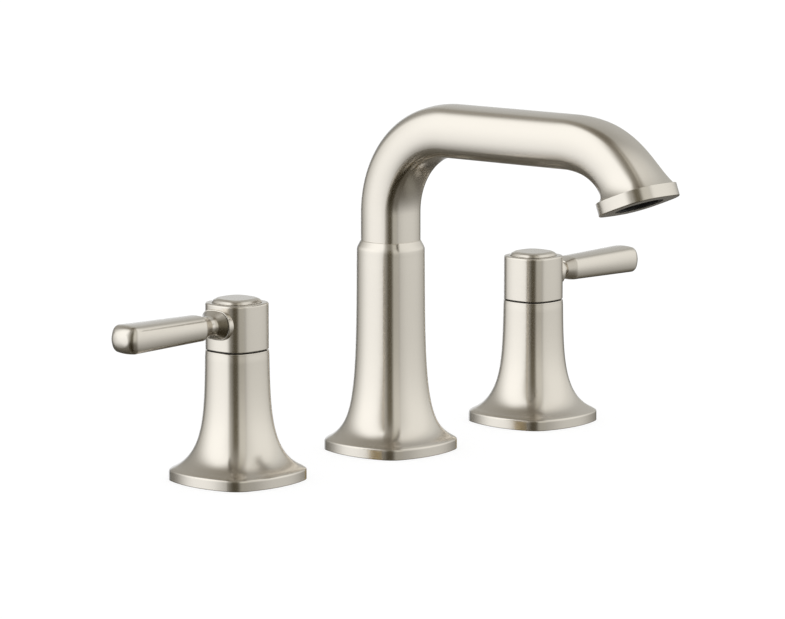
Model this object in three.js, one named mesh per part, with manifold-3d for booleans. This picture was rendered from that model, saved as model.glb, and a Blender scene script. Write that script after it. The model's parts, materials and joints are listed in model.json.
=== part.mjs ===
// Widespread bathroom faucet: two quarter-turn lever valves and a fixed spout on one deck.
// Millimetres, +Z up, spout towards -Y, handles side by side along X.
// The origin is the centre of the spout's foot on the deck plane.

import * as THREE from "three";
import { mergeVertices } from "three/addons/utils/BufferGeometryUtils.js";
import Module from "manifold-3d";

const wasm = await Module();
wasm.setup();

// Layout
const handleSpacing = 203.2;
const deckThickness = 22;

// Fits and allowances
const seatGap = 0.3;
const overrun = 2;

// Bowed square that runs through the whole design: half width over half diagonal
const flatShare = 0.894;
const tubeFlatShare = 0.886;
const footRound = 11.9;
const neckRound = 8;

// Foot shared by the three bases
const footCorner = 31.35;
const footHeight = 5.2;
const footEdge = 0.4;
const footTopEdge = 0.6;
const footBlend = 0.8;
const shellWall = 2.2;
const gasketMargin = 3.6;
const gasketHeight = 2;
const gasketLedge = 1;

// Handle base, the bell
const bellHeight = 59.6;
const bellNeck = 14.55;
const bellSwell = 12.9;
const bellSweep = 11.1;
const bellToe = 2.6;
const bellEdge = 0.3;
const bellThreadLength = 12;
const bellThreadRunout = 2;

// Hub that turns on top of the bell
const shadowGap = 0.6;
const hubHeight = 20.8;
const hubCorner = 14.43;
const hubTopEdge = 0.5;
const hubFootEdge = 0.3;
const skirtRadius = 8;
const skirtLength = 5.2;
const hubFloor = 9.8;
const hubWeb = 3.5;
const plugRadius = 6.7;

// Button on the hub
const buttonCorner = 11.4;
const buttonTopCorner = 9;
const buttonHeight = 2.2;
const buttonEdge = 0.4;
const buttonSwellShare = 0.6;
const plugLength = 3.2;
const plugWall = 1.2;

// Lever
const leverRise = 12.25;
const leverReach = 72.8;
const gripStart = 21;
const gripEase = 7;
const gripInset = 3.3;
const gripEaseShare = 0.5;
const gripHalfWidth = 7;
const gripHalfHeight = 5.8;
const tipHalfWidth = 7.95;
const tipHalfHeight = 6.5;
const tipEase = 4.2;
const gripRound = 3;
const tipRound = 4.6;
const gripBow = 0.3;
const spigotRadius = 3.5;
const spigotDepth = 4.6;
const collarReach = 13.9;
const collarHalfWidth = 9.2;
const collarHalfHeight = 6.9;
const collarRound = 6.4;
const collarEdge = 0.4;
const throatAt = 20.4;
const throatHalfWidth = 4.3;
const throatHalfHeight = 3.5;
const neckHalfWidth = 8.7;
const neckHalfHeight = 6.4;

// Valve body, threaded shank and connections under the deck
const shankRadius = 13.2;
const shankLength = 60;
const shoulderHeight = 18;
const noseRadius = 11.9;
const noseDrop = 23.6;
const chamberRadius = 9.8;
const seatHeight = 10;
const inletBore = 3.5;
const returnBore = 2.6;
const returnOffset = 8.6;
const blockRadius = 15;
const blockHeight = 18;
const inletRadius = 10.45;
const inletLength = 15;
const outletRadius = 6.6;
const outletReach = 30;
const relief = 0.8;
const reliefWidth = 2;

// Quarter-turn ceramic cartridge
const barrelRadius = 8.6;
const barrelFlange = 5;
const flangeAcross = 17.6;
const barrelNeckRadius = 6.9;
const barrelDrop = 9.6;
const discRadius = 6.4;
const discThickness = 2.6;
const portInner = 1.6;
const portOuter = 5;
const portAngle = 80;
const sealThickness = 1.8;
const windowWidth = 5;
const stemRadius = 3.9;
const driveRadius = 6.3;
const driveAngle = 50;
const driveHeight = 4;
const stemGrooveDepth = 1;
const cordSection = 1;
const clipThickness = 1;
const clipWidth = 2;

// Handle screw and bushing
const screwRadius = 2;
const screwLength = 12;
const screwHeadRadius = 3.8;
const screwHeadHeight = 2.6;
const socketAcross = 3;
const bushingLength = 5;

// Washers and nuts
const rubberThickness = 3;
const washerThickness = 2;
const washerMargin = 8;
const nutHeight = 9;
const nutMargin = 6.5;
const nutEdge = 1;

// Spout column
const columnHeight = 99.3;
const columnNeck = 16.05;
const columnSwell = 8.9;
const columnSweep = 16;
const columnToe = 3.6;
const shoulderDrop = 3.4;
const columnTopCorner = 14.2;
const columnThreadFrom = 27;
const columnThreadTo = 42;
const columnBoreTop = 58;
const socketDepth = 14;

// Spout tube, from the column up, over and down to the outlet
const tubeCorner = 14.05;
const tubeRoundShare = 0.458;
const elbowStart = 112.6;
const elbowRadius = 41.1;
const armLength = 70.4;
const armRise = 0.5;
const noseLead = 55.7;
const noseLeadTurn = 13.6;
const noseBend = 38.5;
const noseTilt = 29.7;
const noseCorner = 13.9;
const noseTaper = 25;
const noseEase = 30;
const outletTilt = 20.75;
const outletFlare = 17.57;
const outletSweep = 4.75;
const outletCorner = 18.6;
const outletFlatShare = 0.9;
const outletRoundShare = 0.6;
const outletBand = 6.1;
const outletEdge = 0.45;
const waterwayRadius = 9;
const spigotWall = 2.2;

// Spout shank and hose tee
const tailRadius = 10.45;
const tailLength = 66;
const tailBore = 6;
const tailNoseRadius = 8.9;
const tailNoseLength = 15;
const ringGroove = 1.9;
const ringInset = 3;
const ringPitch = 5;
const teeHeight = 24;
const teeReach = 26;
const teeWall = 3;
const teeOverlap = 9;

// Aerator
const aeratorRadius = 10.75;
const aeratorWall = 1.9;
const aeratorHeight = 7;
const aeratorInset = 0.6;
const aeratorSealHeight = 1.2;
const insertHeight = 2.6;
const cellAcross = 2.6;
const cellWall = 0.7;
const regulatorHeight = 1.6;
const regulatorHole = 1.2;
const regulatorHoles = 6;

// Facets
const sideSteps = 2;
const cornerSteps = 3;
const fineSides = 14;
const plainSides = 12;
const ringSides = 10;
const cordSides = 5;

const quarter = Math.PI / 2;
const degree = Math.PI / 180;

// Materials
function metal(color, roughness) {
  return new THREE.MeshStandardMaterial({ color, roughness, metalness: 1 });
}

function plain(color, roughness) {
  return new THREE.MeshStandardMaterial({ color, roughness, metalness: 0 });
}

const nickel = metal(0xcfc8bb, 0.32);
const brass = metal(0xc2a061, 0.38);
const steel = metal(0xb9bcc0, 0.35);
const rubber = plain(0x1c1c1e, 0.85);
const nylon = plain(0xe6e4dc, 0.55);
const ceramic = plain(0xf0ede6, 0.2);
const blackPlastic = plain(0x17181a, 0.45);

// Turn a closed mesh into a solid that can be joined and cut.
function solid(geometry) {
  const bare = geometry.clone();
  bare.deleteAttribute("normal");
  bare.deleteAttribute("uv");
  const welded = mergeVertices(bare);
  const index = welded.index.array;
  const faces = [];
  for (let i = 0; i < index.length; i += 3) {
    const [a, b, c] = [index[i], index[i + 1], index[i + 2]];
    if (a !== b && b !== c && c !== a) faces.push(a, b, c);
  }
  const mesh = new wasm.Mesh({
    numProp: 3,
    vertProperties: new Float32Array(welded.attributes.position.array),
    triVerts: new Uint32Array(faces),
  });
  return new wasm.Manifold(mesh);
}

function geometryOf(body) {
  const mesh = body.getMesh();
  const geometry = new THREE.BufferGeometry();
  geometry.setAttribute("position", new THREE.BufferAttribute(new Float32Array(mesh.vertProperties), 3));
  geometry.setIndex(new THREE.BufferAttribute(new Uint32Array(mesh.triVerts), 1));
  return geometry;
}

function cut(body, ...tools) {
  return tools.reduce((rest, tool) => rest.subtract(tool), body);
}

function join(first, ...others) {
  return others.reduce((whole, piece) => whole.add(piece), first);
}

// Revolve a profile of [radius, height] pairs, listed upwards along the outside, about Z.
function turned(profile, sides = plainSides) {
  const points = profile.map(([radius, height]) => new THREE.Vector2(radius, height));
  return solid(new THREE.LatheGeometry(points, sides).rotateX(quarter));
}

function rod(radius, low, high, sides = plainSides) {
  return turned([[0, low], [radius, low], [radius, high], [0, high]], sides);
}

function tube(outer, inner, low, high, sides = plainSides) {
  return turned([[inner, low], [outer, low], [outer, high], [inner, high], [inner, low]], sides);
}

// A ring of round section, such as an O-ring, lying level at a height.
function cordRing(radius, section, height, sides) {
  const half = section / 2;
  const profile = [];
  for (let i = 0; i <= cordSides; i += 1) {
    const angle = (i / cordSides) * 2 * Math.PI;
    profile.push([radius + half * Math.cos(angle), height + half * Math.sin(angle)]);
  }
  return turned(profile, sides);
}

// A hexagonal prism, measured across its flats.
function hexagon(across, low, high) {
  const corner = across / 2 / Math.cos(Math.PI / 6);
  return rod(corner, low, high, 6);
}

// Extrude an outline of Vector2 points upwards.
function prism(outline, low, high) {
  const shape = new THREE.Shape(outline);
  const geometry = new THREE.ExtrudeGeometry(shape, { depth: high - low, bevelEnabled: false });
  return solid(geometry.translate(0, 0, low));
}

// Skin a stack of rings that have equal point counts, and close both ends.
function loft(rings) {
  const count = rings[0].length;
  const points = rings.flat();
  const middle = (ring) => ring.reduce((sum, p) => sum.add(p), new THREE.Vector3()).divideScalar(count);
  points.push(middle(rings[0]), middle(rings[rings.length - 1]));
  const lowest = points.length - 2;
  const highest = points.length - 1;
  const last = (rings.length - 1) * count;
  const faces = [];
  for (let i = 0; i < count; i += 1) {
    const next = (i + 1) % count;
    faces.push(lowest, next, i);
    faces.push(highest, last + i, last + next);
    for (let row = 0; row < last; row += count) {
      faces.push(row + i, row + next, row + count + next);
      faces.push(row + i, row + count + next, row + count + i);
    }
  }
  const geometry = new THREE.BufferGeometry().setFromPoints(points);
  geometry.setIndex(faces);
  return solid(geometry);
}

// The bowed square: four shallow side arcs that meet four tighter corner arcs in line.
// corner is the half diagonal, flat the half width and round the corner radius.
function bowedSquare(corner, flat, round) {
  const reach = (corner - round) / Math.SQRT2;
  const lean = reach - flat;
  const bow = (round ** 2 - reach ** 2 - lean ** 2) / (2 * (lean + round));
  const swing = Math.atan2(reach, reach - flat + bow);
  const points = [];
  for (let side = 0; side < 4; side += 1) {
    const arcs = [
      { x: flat - bow, y: 0, radius: bow, from: -swing, to: swing, steps: sideSteps },
      { x: reach, y: reach, radius: round, from: swing, to: quarter - swing, steps: cornerSteps },
    ];
    for (const arc of arcs) {
      for (let i = 0; i < arc.steps; i += 1) {
        const angle = arc.from + ((arc.to - arc.from) * i) / arc.steps;
        const point = new THREE.Vector2(arc.x, arc.y);
        point.x += arc.radius * Math.cos(angle);
        point.y += arc.radius * Math.sin(angle);
        points.push(point.rotateAround(new THREE.Vector2(), side * quarter));
      }
    }
  }
  return points;
}

// Corner radius of a base at a given half diagonal, tightening as the base narrows.
function baseRound(corner, neck) {
  return neckRound + ((footRound - neckRound) * (corner - neck)) / (footCorner - neck);
}

function levelRing(corner, height, round) {
  const outline = bowedSquare(corner, corner * flatShare, round);
  return outline.map((point) => new THREE.Vector3(point.x, point.y, height));
}

// Half diagonal of a flared base, at a rise above its foot: a long sweep and a short toe.
function flare(base, rise) {
  const toe = footCorner - base.neck - base.swell;
  return base.neck + base.swell * Math.exp(-rise / base.sweep) + toe * Math.exp(-rise / base.toe);
}

const bellFlare = { neck: bellNeck, swell: bellSwell, sweep: bellSweep, toe: bellToe };
const columnFlare = { neck: columnNeck, swell: columnSwell, sweep: columnSweep, toe: columnToe };

// Where the rings of a flare lie, closer together near the foot
const flareShares = [0, 0.025, 0.06, 0.11, 0.18, 0.28, 0.43, 0.66];

function footRings() {
  return [
    levelRing(footCorner - footEdge, 0, footRound - footEdge),
    levelRing(footCorner, footEdge, footRound),
    levelRing(footCorner, footHeight - footTopEdge, footRound),
    levelRing(footCorner - footTopEdge, footHeight, footRound - footTopEdge),
  ];
}

function flareRings(base, top) {
  const start = footHeight + footBlend;
  return flareShares.map((share) => {
    const height = start + (top - start) * share;
    const corner = flare(base, height - footHeight);
    return levelRing(corner, height, baseRound(corner, base.neck));
  });
}

const hollowShares = [0, 0.25, 1];

// The hollow under a flared base, one wall inside it, from the deck up to a height.
function flareHollow(base, top) {
  const steps = hollowShares.map((share) => share * (top - footHeight));
  const rings = steps.map((rise) => {
    const corner = flare(base, rise) - shellWall;
    return levelRing(corner, footHeight + rise, baseRound(corner, base.neck) - shellWall / 2);
  });
  const mouth = footCorner - gasketMargin - shellWall;
  const mouthRound = baseRound(mouth, base.neck);
  const ledgeTop = gasketHeight + seatGap + gasketLedge;
  return loft([levelRing(mouth, -overrun, mouthRound), levelRing(mouth, ledgeTop, mouthRound), ...rings]);
}

function gasketRecess() {
  const corner = footCorner - gasketMargin + seatGap;
  const round = footRound - gasketMargin / 2;
  return loft([levelRing(corner, -overrun, round), levelRing(corner, gasketHeight + seatGap, round)]);
}

// Handle base

const noseHeight = bellHeight - noseDrop;

function bell() {
  const rings = [
    ...footRings(),
    ...flareRings(bellFlare, bellHeight),
    levelRing(bellNeck, bellHeight - bellEdge, neckRound),
    levelRing(bellNeck - bellEdge, bellHeight, neckRound - bellEdge),
  ];
  const threadBore = rod(noseRadius + seatGap, 0, noseHeight + bellThreadRunout, fineSides);
  const topBore = rod(bushingRadius() + seatGap, 0, bellHeight + overrun, fineSides);
  const hollow = flareHollow(bellFlare, noseHeight - bellThreadLength);
  return cut(loft(rings), gasketRecess(), hollow, threadBore, topBore);
}

function bushingRadius() {
  return skirtRadius + seatGap + shellWall;
}

function baseGasket(hole) {
  const round = footRound - gasketMargin / 2;
  const corner = footCorner - gasketMargin;
  const pad = loft([levelRing(corner, 0, round), levelRing(corner, gasketHeight, round)]);
  return cut(pad, rod(hole, -overrun, gasketHeight + overrun, fineSides));
}

// Hub, bushing, button and lever

const hubFoot = bellHeight + shadowGap;
const hubTop = hubFoot + hubHeight;
const webLow = hubFoot + hubFloor;
const webHigh = webLow + hubWeb;
const leverHeight = hubFoot + leverRise;

function hubOutside(grow = 0) {
  const corner = hubCorner + grow;
  const rings = [
    levelRing(corner - hubFootEdge, hubFoot, neckRound - hubFootEdge),
    levelRing(corner, hubFoot + hubFootEdge, neckRound),
    levelRing(corner, hubTop - hubTopEdge, neckRound),
    levelRing(corner - hubTopEdge / 3, hubTop - hubTopEdge / 3, neckRound - hubTopEdge / 3),
    levelRing(corner - hubTopEdge, hubTop, neckRound - hubTopEdge),
  ];
  return loft(rings);
}

function hub() {
  const skirt = rod(skirtRadius, hubFoot - skirtLength, hubFoot + overrun, fineSides);
  const body = join(hubOutside(), skirt);
  const stemSocket = rod(stemRadius + seatGap, hubFoot - skirtLength - overrun, webLow);
  const screwHole = rod(screwRadius + seatGap, webLow - overrun, webHigh + overrun);
  const well = rod(plugRadius + seatGap, webHigh, hubTop + overrun, fineSides);
  const flatReach = hubCorner * flatShare;
  const leverHole = rod(spigotRadius + seatGap, flatReach - spigotDepth - seatGap, flatReach + overrun);
  return cut(body, stemSocket, screwHole, well, sideways(leverHole, leverHeight));
}

// Lay a body that was made along Z along X instead, at a height.
function sideways(body, height) {
  return body.rotate([0, 90, 0]).translate([0, 0, height]);
}

function hubBushing() {
  const inner = skirtRadius + seatGap;
  const low = bellHeight - bushingLength;
  return tube(bushingRadius(), inner, low, bellHeight, fineSides);
}

function buttonCap() {
  const low = hubTop + seatGap;
  const top = low + buttonHeight;
  const round = neckRound * (buttonCorner / hubCorner);
  const topRound = neckRound * (buttonTopCorner / hubCorner);
  const shoulder = buttonTopCorner + (buttonCorner - buttonTopCorner) * buttonSwellShare;
  const crown = loft([
    levelRing(buttonCorner, low, round),
    levelRing(buttonCorner - buttonEdge / 2, low + buttonEdge, round - buttonEdge / 2),
    levelRing(shoulder, low + buttonHeight * buttonSwellShare, (round + topRound) / 2),
    levelRing(buttonTopCorner + buttonEdge / 2, top - buttonEdge / 2, topRound + buttonEdge / 2),
    levelRing(buttonTopCorner - buttonEdge, top, topRound - buttonEdge),
  ]);
  const plug = tube(plugRadius, plugRadius - plugWall, hubTop - plugLength, low + buttonEdge, fineSides);
  return join(crown, plug);
}

// A rounded rectangle across the lever, at a distance along it. Its sides bow out in the middle.
function barRing(distance, halfWidth, halfHeight, round, bow = 0) {
  const limit = Math.min(round, halfWidth - bow, halfHeight - bow);
  const points = [];
  const corners = [[1, 1], [-1, 1], [-1, -1], [1, -1]];
  const middles = [[0, halfHeight], [-halfWidth, 0], [0, -halfHeight], [halfWidth, 0]];
  corners.forEach(([right, up], turn) => {
    for (let i = 0; i <= cornerSteps; i += 1) {
      const angle = quarter * (turn + i / cornerSteps);
      const y = right * (halfWidth - bow - limit) + limit * Math.cos(angle);
      const z = up * (halfHeight - bow - limit) + limit * Math.sin(angle);
      points.push(new THREE.Vector3(distance, y, leverHeight + z));
    }
    const [y, z] = middles[turn];
    points.push(new THREE.Vector3(distance, y, leverHeight + z));
  });
  return points;
}

const neckShares = [0, 0.12, 0.3, 0.55, 1];
const rootShares = [0.75, 0.5, 0.25, 0];
const endShares = [0, 0.25, 0.5, 0.75, 0.97];

// The neck narrows from the collar to its throat, steeply at first.
function neckRings() {
  const start = collarReach + seatGap;
  return neckShares.map((share) => {
    const distance = start + (throatAt - start) * share;
    const left = (1 - share) ** 3;
    const halfWidth = throatHalfWidth + (neckHalfWidth - throatHalfWidth) * left;
    const halfHeight = throatHalfHeight + (neckHalfHeight - throatHalfHeight) * left;
    return barRing(distance, halfWidth, halfHeight, collarRound);
  });
}

// The grip's root is rounded more across than in height.
function rootRings() {
  return rootShares.map((share) => {
    const angle = share * quarter;
    const inset = gripInset * (1 - Math.cos(angle));
    const distance = gripStart + gripEase * (1 - Math.sin(angle));
    return barRing(distance, gripHalfWidth - inset, gripHalfHeight - inset * gripEaseShare, gripRound, gripBow);
  });
}

// Rings of the rounded tip: the section shrinks by its ease and its corners soften.
function tipRings() {
  return endShares.map((share) => {
    const angle = share * quarter;
    const inset = tipEase * (1 - Math.cos(angle));
    const distance = leverReach - tipEase + tipEase * Math.sin(angle);
    const round = gripRound + (tipRound - gripRound) * Math.sin(angle) - inset / 2;
    return barRing(distance, tipHalfWidth - inset, tipHalfHeight - inset, round, gripBow);
  });
}

function lever() {
  const flatReach = hubCorner * flatShare;
  const spigotFrom = flatReach - spigotDepth;
  const rings = [
    barRing(spigotFrom, spigotRadius, spigotRadius, spigotRadius),
    barRing(collarReach + seatGap, spigotRadius, spigotRadius, spigotRadius),
    ...neckRings(),
    barRing(gripStart, throatHalfWidth, throatHalfHeight, collarRound),
    ...rootRings(),
    ...tipRings(),
  ];
  return loft(rings);
}

// The collar's back follows the hub's bowed side.
function leverCollar() {
  const inside = hubCorner * flatShare - washerThickness;
  const body = loft([
    barRing(inside, collarHalfWidth, collarHalfHeight, collarRound),
    barRing(collarReach - collarEdge, collarHalfWidth, collarHalfHeight, collarRound),
    barRing(collarReach, collarHalfWidth - collarEdge, collarHalfHeight - collarEdge, collarRound),
  ]);
  const hole = rod(spigotRadius + seatGap, 0, collarReach + overrun);
  return cut(body, hubOutside(seatGap), sideways(hole, leverHeight));
}

function handleScrew() {
  const seat = webHigh + seatGap;
  const top = seat + screwHeadHeight;
  const body = turned([
    [0, seat - screwLength],
    [screwRadius, seat - screwLength],
    [screwRadius, seat],
    [screwHeadRadius, seat],
    [screwHeadRadius, top],
    [0, top],
  ]);
  return cut(body, hexagon(socketAcross, seat + screwHeadHeight / 3, top + overrun));
}

// Ceramic cartridge

const sealTop = seatHeight + sealThickness;
const lowerDiscFrom = sealTop + seatGap;
const upperDiscFrom = lowerDiscFrom + discThickness;
const driveFrom = upperDiscFrom + discThickness + seatGap;
const driveTop = driveFrom + driveHeight;
const barrelTop = noseHeight + seatGap + barrelFlange;
const barrelNeckTop = bellHeight - barrelDrop;

// Two opposite sectors of a ring, as prisms.
function sectors(outer, inner, angle, low, high) {
  const half = (angle / 2) * degree;
  return [0, Math.PI].map((turn) => {
    const shape = new THREE.Shape();
    shape.absarc(0, 0, outer, turn - half, turn + half, false);
    shape.absarc(0, 0, inner, turn + half, turn - half, true);
    return prism(shape.getPoints(cornerSteps), low, high);
  });
}

function ceramicDisc(low, turn) {
  const body = rod(discRadius, low, low + discThickness);
  const ports = sectors(portOuter, portInner, portAngle, low - overrun, low + discThickness + overrun);
  return cut(body, ...ports).rotate([0, 0, turn]);
}

function seatSeal() {
  return tube(discRadius, portOuter, seatHeight + seatGap, sealTop);
}

function cartridgeBarrel() {
  const flangeFrom = noseHeight + seatGap;
  const outside = turned([
    [0, sealTop - sealThickness / 2],
    [barrelRadius, sealTop - sealThickness / 2],
    [barrelRadius, flangeFrom + overrun],
    [0, flangeFrom + overrun],
  ], fineSides);
  const body = join(
    outside,
    hexagon(flangeAcross, flangeFrom, barrelTop),
    rod(barrelNeckRadius, barrelTop - overrun, barrelNeckTop, fineSides),
  );
  const discBore = rod(discRadius + seatGap, 0, driveTop + seatGap);
  const stemBore = rod(stemRadius + seatGap, 0, barrelNeckTop + overrun);
  const windows = rod(windowWidth / 2, -barrelRadius - overrun, barrelRadius + overrun, cordSides * 2);
  return cut(body, discBore, stemBore, sideways(windows, driveFrom).rotate([0, 0, 90]));
}

function stem() {
  const grooveAt = barrelNeckTop - barrelFlange;
  const half = cordSection / 2 + seatGap / 2;
  const top = webLow - seatGap;
  const clipAt = barrelNeckTop + seatGap;
  const shaft = turned([
    [0, driveFrom],
    [stemRadius, driveFrom],
    [stemRadius, grooveAt - half],
    [stemRadius - stemGrooveDepth, grooveAt - half],
    [stemRadius - stemGrooveDepth, grooveAt + half],
    [stemRadius, grooveAt + half],
    [stemRadius, clipAt - seatGap / 2],
    [stemRadius - stemGrooveDepth, clipAt - seatGap / 2],
    [stemRadius - stemGrooveDepth, clipAt + clipThickness + seatGap / 2],
    [stemRadius, clipAt + clipThickness + seatGap / 2],
    [stemRadius, top],
    [0, top],
  ]);
  const lugs = sectors(driveRadius, stemRadius / 2, driveAngle, driveFrom, driveTop);
  const screwBore = rod(screwRadius + seatGap, top - screwLength, top + overrun);
  return cut(join(shaft, ...lugs), screwBore);
}

function stemRing() {
  const radius = stemRadius - stemGrooveDepth + seatGap / 2 + cordSection / 2;
  return cordRing(radius, cordSection - seatGap, barrelNeckTop - barrelFlange, plainSides);
}

function stemClip() {
  const inner = stemRadius - stemGrooveDepth + seatGap;
  const low = barrelNeckTop + seatGap;
  const ring = tube(inner + clipWidth, inner, low, low + clipThickness);
  const mouth = rod(inner - seatGap, 0, inner + clipWidth + overrun, cordSides);
  return cut(ring, sideways(mouth, low + clipThickness / 2));
}

// Valve body, drilled with an inlet up the middle and a return beside it.
function valveBody() {
  const blockTop = -shankLength;
  const blockLow = blockTop - blockHeight;
  const inletLow = blockLow - inletLength;
  const body = turned([
    [0, inletLow],
    [inletRadius, inletLow],
    [inletRadius, blockLow - reliefWidth],
    [inletRadius - relief, blockLow - reliefWidth],
    [inletRadius - relief, blockLow],
    [blockRadius, blockLow],
    [blockRadius, blockTop],
    [shankRadius - relief, blockTop],
    [shankRadius - relief, blockTop + reliefWidth],
    [shankRadius, blockTop + reliefWidth],
    [shankRadius, shoulderHeight],
    [noseRadius, shoulderHeight],
    [noseRadius, noseHeight],
    [0, noseHeight],
  ], fineSides);
  const outletAt = (blockTop + blockLow) / 2;
  const nipple = rod(outletRadius, -outletReach, -returnOffset);
  const outletDrill = rod(returnBore, -outletReach - overrun, -returnOffset, ringSides);
  const chamber = rod(chamberRadius, seatHeight, noseHeight + overrun, fineSides);
  const inlet = rod(inletBore, inletLow - overrun, seatHeight + overrun, ringSides);
  const back = rod(returnBore, outletAt - returnBore, seatHeight + overrun, ringSides);
  return cut(
    join(body, sideways(nipple, outletAt)),
    chamber,
    inlet,
    back.translate([-returnOffset, 0, 0]),
    sideways(outletDrill, outletAt),
  );
}

// Clamping stack under the deck

function deckWasher(radius) {
  const top = -deckThickness;
  return tube(radius + washerMargin, radius + seatGap, top - rubberThickness, top, fineSides);
}

function steelWasher(radius) {
  const top = -deckThickness - rubberThickness - seatGap;
  return tube(radius + washerMargin, radius + seatGap, top - washerThickness, top, fineSides);
}

function mountingNut(radius) {
  const top = -deckThickness - rubberThickness - washerThickness - 2 * seatGap;
  const low = top - nutHeight;
  const across = 2 * (radius + nutMargin);
  const corner = across / 2 / Math.cos(Math.PI / 6);
  const chamfer = turned([
    [0, low],
    [across / 2, low],
    [corner, low + nutEdge],
    [corner, top - nutEdge],
    [across / 2, top],
    [0, top],
  ], fineSides);
  const blank = hexagon(across, low, top).intersect(chamfer);
  return cut(blank, rod(radius + seatGap, low - overrun, top + overrun, fineSides));
}

// Spout column

function column() {
  const top = columnHeight - shoulderDrop;
  const topRound = tubeCorner * tubeRoundShare + (columnTopCorner - tubeCorner) / 2;
  const rings = [
    ...footRings(),
    ...flareRings(columnFlare, top),
    levelRing(columnNeck, top, neckRound),
    levelRing(columnNeck - shoulderDrop / 8, top + shoulderDrop / 3, neckRound),
    levelRing(columnTopCorner, columnHeight, topRound),
  ];
  const nose = rod(tailNoseRadius + seatGap, 0, columnBoreTop, fineSides);
  const thread = rod(tailRadius + seatGap, 0, columnThreadTo, fineSides);
  const waterway = rod(waterwayRadius - seatGap, 0, columnHeight, fineSides);
  const socketLow = columnHeight - socketDepth;
  const socket = rod(spigotOutside() + seatGap, socketLow, columnHeight + overrun, fineSides);
  const hollow = flareHollow(columnFlare, columnThreadFrom);
  return cut(loft(rings), gasketRecess(), hollow, thread, nose, waterway, socket);
}

function spigotOutside() {
  return waterwayRadius + spigotWall;
}

// Stations along the spout's centre line, which rises, bends over, runs out and turns down,
// gently at first.
const rise = armRise * degree;
const leadTurn = noseLeadTurn * degree;
const noseAngle = noseTilt * degree - quarter;
const exitAngle = outletTilt * degree - quarter;
const tubeFrom = columnHeight + seatGap;

const stretches = [
  { length: elbowStart - tubeFrom, turn: 0 },
  { length: elbowRadius * (quarter - rise), turn: -1 / elbowRadius },
  { length: armLength, turn: 0 },
  { length: noseLead * leadTurn, turn: -1 / noseLead },
  { length: noseBend * (rise - leadTurn - noseAngle), turn: -1 / noseBend },
];

const stationShares = [
  [0],
  [0, 0.1, 0.2, 0.3, 0.4, 0.5, 0.6, 0.7, 0.8, 0.9],
  [0],
  [0, 0.5],
  [0, 0.14, 0.28, 0.42, 0.55, 0.66, 0.76, 0.85, 0.93, 1],
];

// Walk the stretches to one distance along one of them.
function spoutStation(number, share) {
  let angle = quarter;
  const place = new THREE.Vector2(0, tubeFrom);
  let distance = 0;
  for (let i = 0; i <= number; i += 1) {
    const length = stretches[i].length * (i === number ? share : 1);
    const swing = stretches[i].turn * length;
    const chord = swing === 0 ? length : (2 * Math.sin(swing / 2)) / stretches[i].turn;
    place.x += chord * Math.cos(angle + swing / 2);
    place.y += chord * Math.sin(angle + swing / 2);
    angle += swing;
    distance += length;
  }
  return { place, angle, distance };
}

const spoutLength = stretches.reduce((sum, stretch) => sum + stretch.length, 0);
const bandStart = spoutStation(stretches.length - 1, 1);

// Half diagonal of the tube: slimmer round the nose, then flaring out to the band.
function tubeCornerAt(distance) {
  const left = spoutLength - distance;
  const slim = Math.min(Math.max(2 - left / noseTaper, 0), 1);
  const plain = tubeCorner + (noseCorner - tubeCorner) * slim;
  return plain + (outletFlare - plain) * Math.exp(-left / outletSweep);
}

// Near the outlet the sections lean over from square on the centre line to the outlet's tilt.
function leant(station) {
  const ease = Math.max(1 - (spoutLength - station.distance) / noseEase, 0);
  return { ...station, angle: station.angle + (exitAngle - noseAngle) * ease ** 2 };
}

// Stand a flat outline across the spout at a station.
function spoutRing(station, outline) {
  const across = new THREE.Vector2(-Math.sin(station.angle), Math.cos(station.angle));
  return outline.map((point) => {
    const out = station.place.x + point.y * across.x;
    const up = station.place.y + point.y * across.y;
    return new THREE.Vector3(point.x, -out, up);
  });
}

// A station on the outlet's own axis, a distance inside its mouth.
function outletStation(back) {
  const ahead = outletBand - back;
  const place = bandStart.place.clone();
  place.x += ahead * Math.cos(exitAngle);
  place.y += ahead * Math.sin(exitAngle);
  return { place, angle: exitAngle };
}

function tubeStations() {
  return stationShares.flatMap((shares, number) => {
    return shares.map((share) => leant(spoutStation(number, share)));
  });
}

function circle(radius) {
  const points = [];
  for (let i = 0; i < ringSides; i += 1) {
    const angle = (i / ringSides) * 2 * Math.PI;
    points.push(new THREE.Vector2(radius * Math.cos(angle), radius * Math.sin(angle)));
  }
  return points;
}

function tubeOutside() {
  const rings = tubeStations().map((station) => {
    const corner = tubeCornerAt(station.distance);
    return spoutRing(station, bowedSquare(corner, corner * tubeFlatShare, corner * tubeRoundShare));
  });
  const band = [
    [outletBand - outletEdge / 2, outletCorner - outletEdge / 2],
    [outletBand - outletEdge, outletCorner],
    [outletEdge, outletCorner],
    [0, outletCorner - outletEdge],
  ];
  for (const [back, corner] of band) {
    const outline = bowedSquare(corner, corner * outletFlatShare, corner * outletRoundShare);
    rings.push(spoutRing(outletStation(back), outline));
  }
  return loft(rings);
}

function tubeInside() {
  const start = { place: new THREE.Vector2(0, columnHeight - socketDepth - overrun), angle: quarter };
  const rings = [start, ...tubeStations()];
  return loft(rings.map((station) => spoutRing(station, circle(waterwayRadius))));
}

// Move a body made along Z, mouth at zero and inside above, into the outlet.
function intoOutlet(body) {
  const { place } = outletStation(0);
  return body.rotate([-outletTilt, 0, 0]).translate([0, -place.x, place.y]);
}

function spoutTube() {
  const spigotLow = columnHeight - socketDepth + seatGap;
  const spigot = rod(spigotOutside(), spigotLow, tubeFrom + overrun, fineSides);
  const pocket = rod(aeratorRadius + seatGap, -overrun, aeratorPocket, fineSides);
  return cut(join(tubeOutside(), spigot), tubeInside(), intoOutlet(pocket));
}

// Aerator

const aeratorTop = aeratorInset + aeratorHeight;
const aeratorPocket = aeratorTop + aeratorSealHeight + 2 * seatGap;

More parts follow.
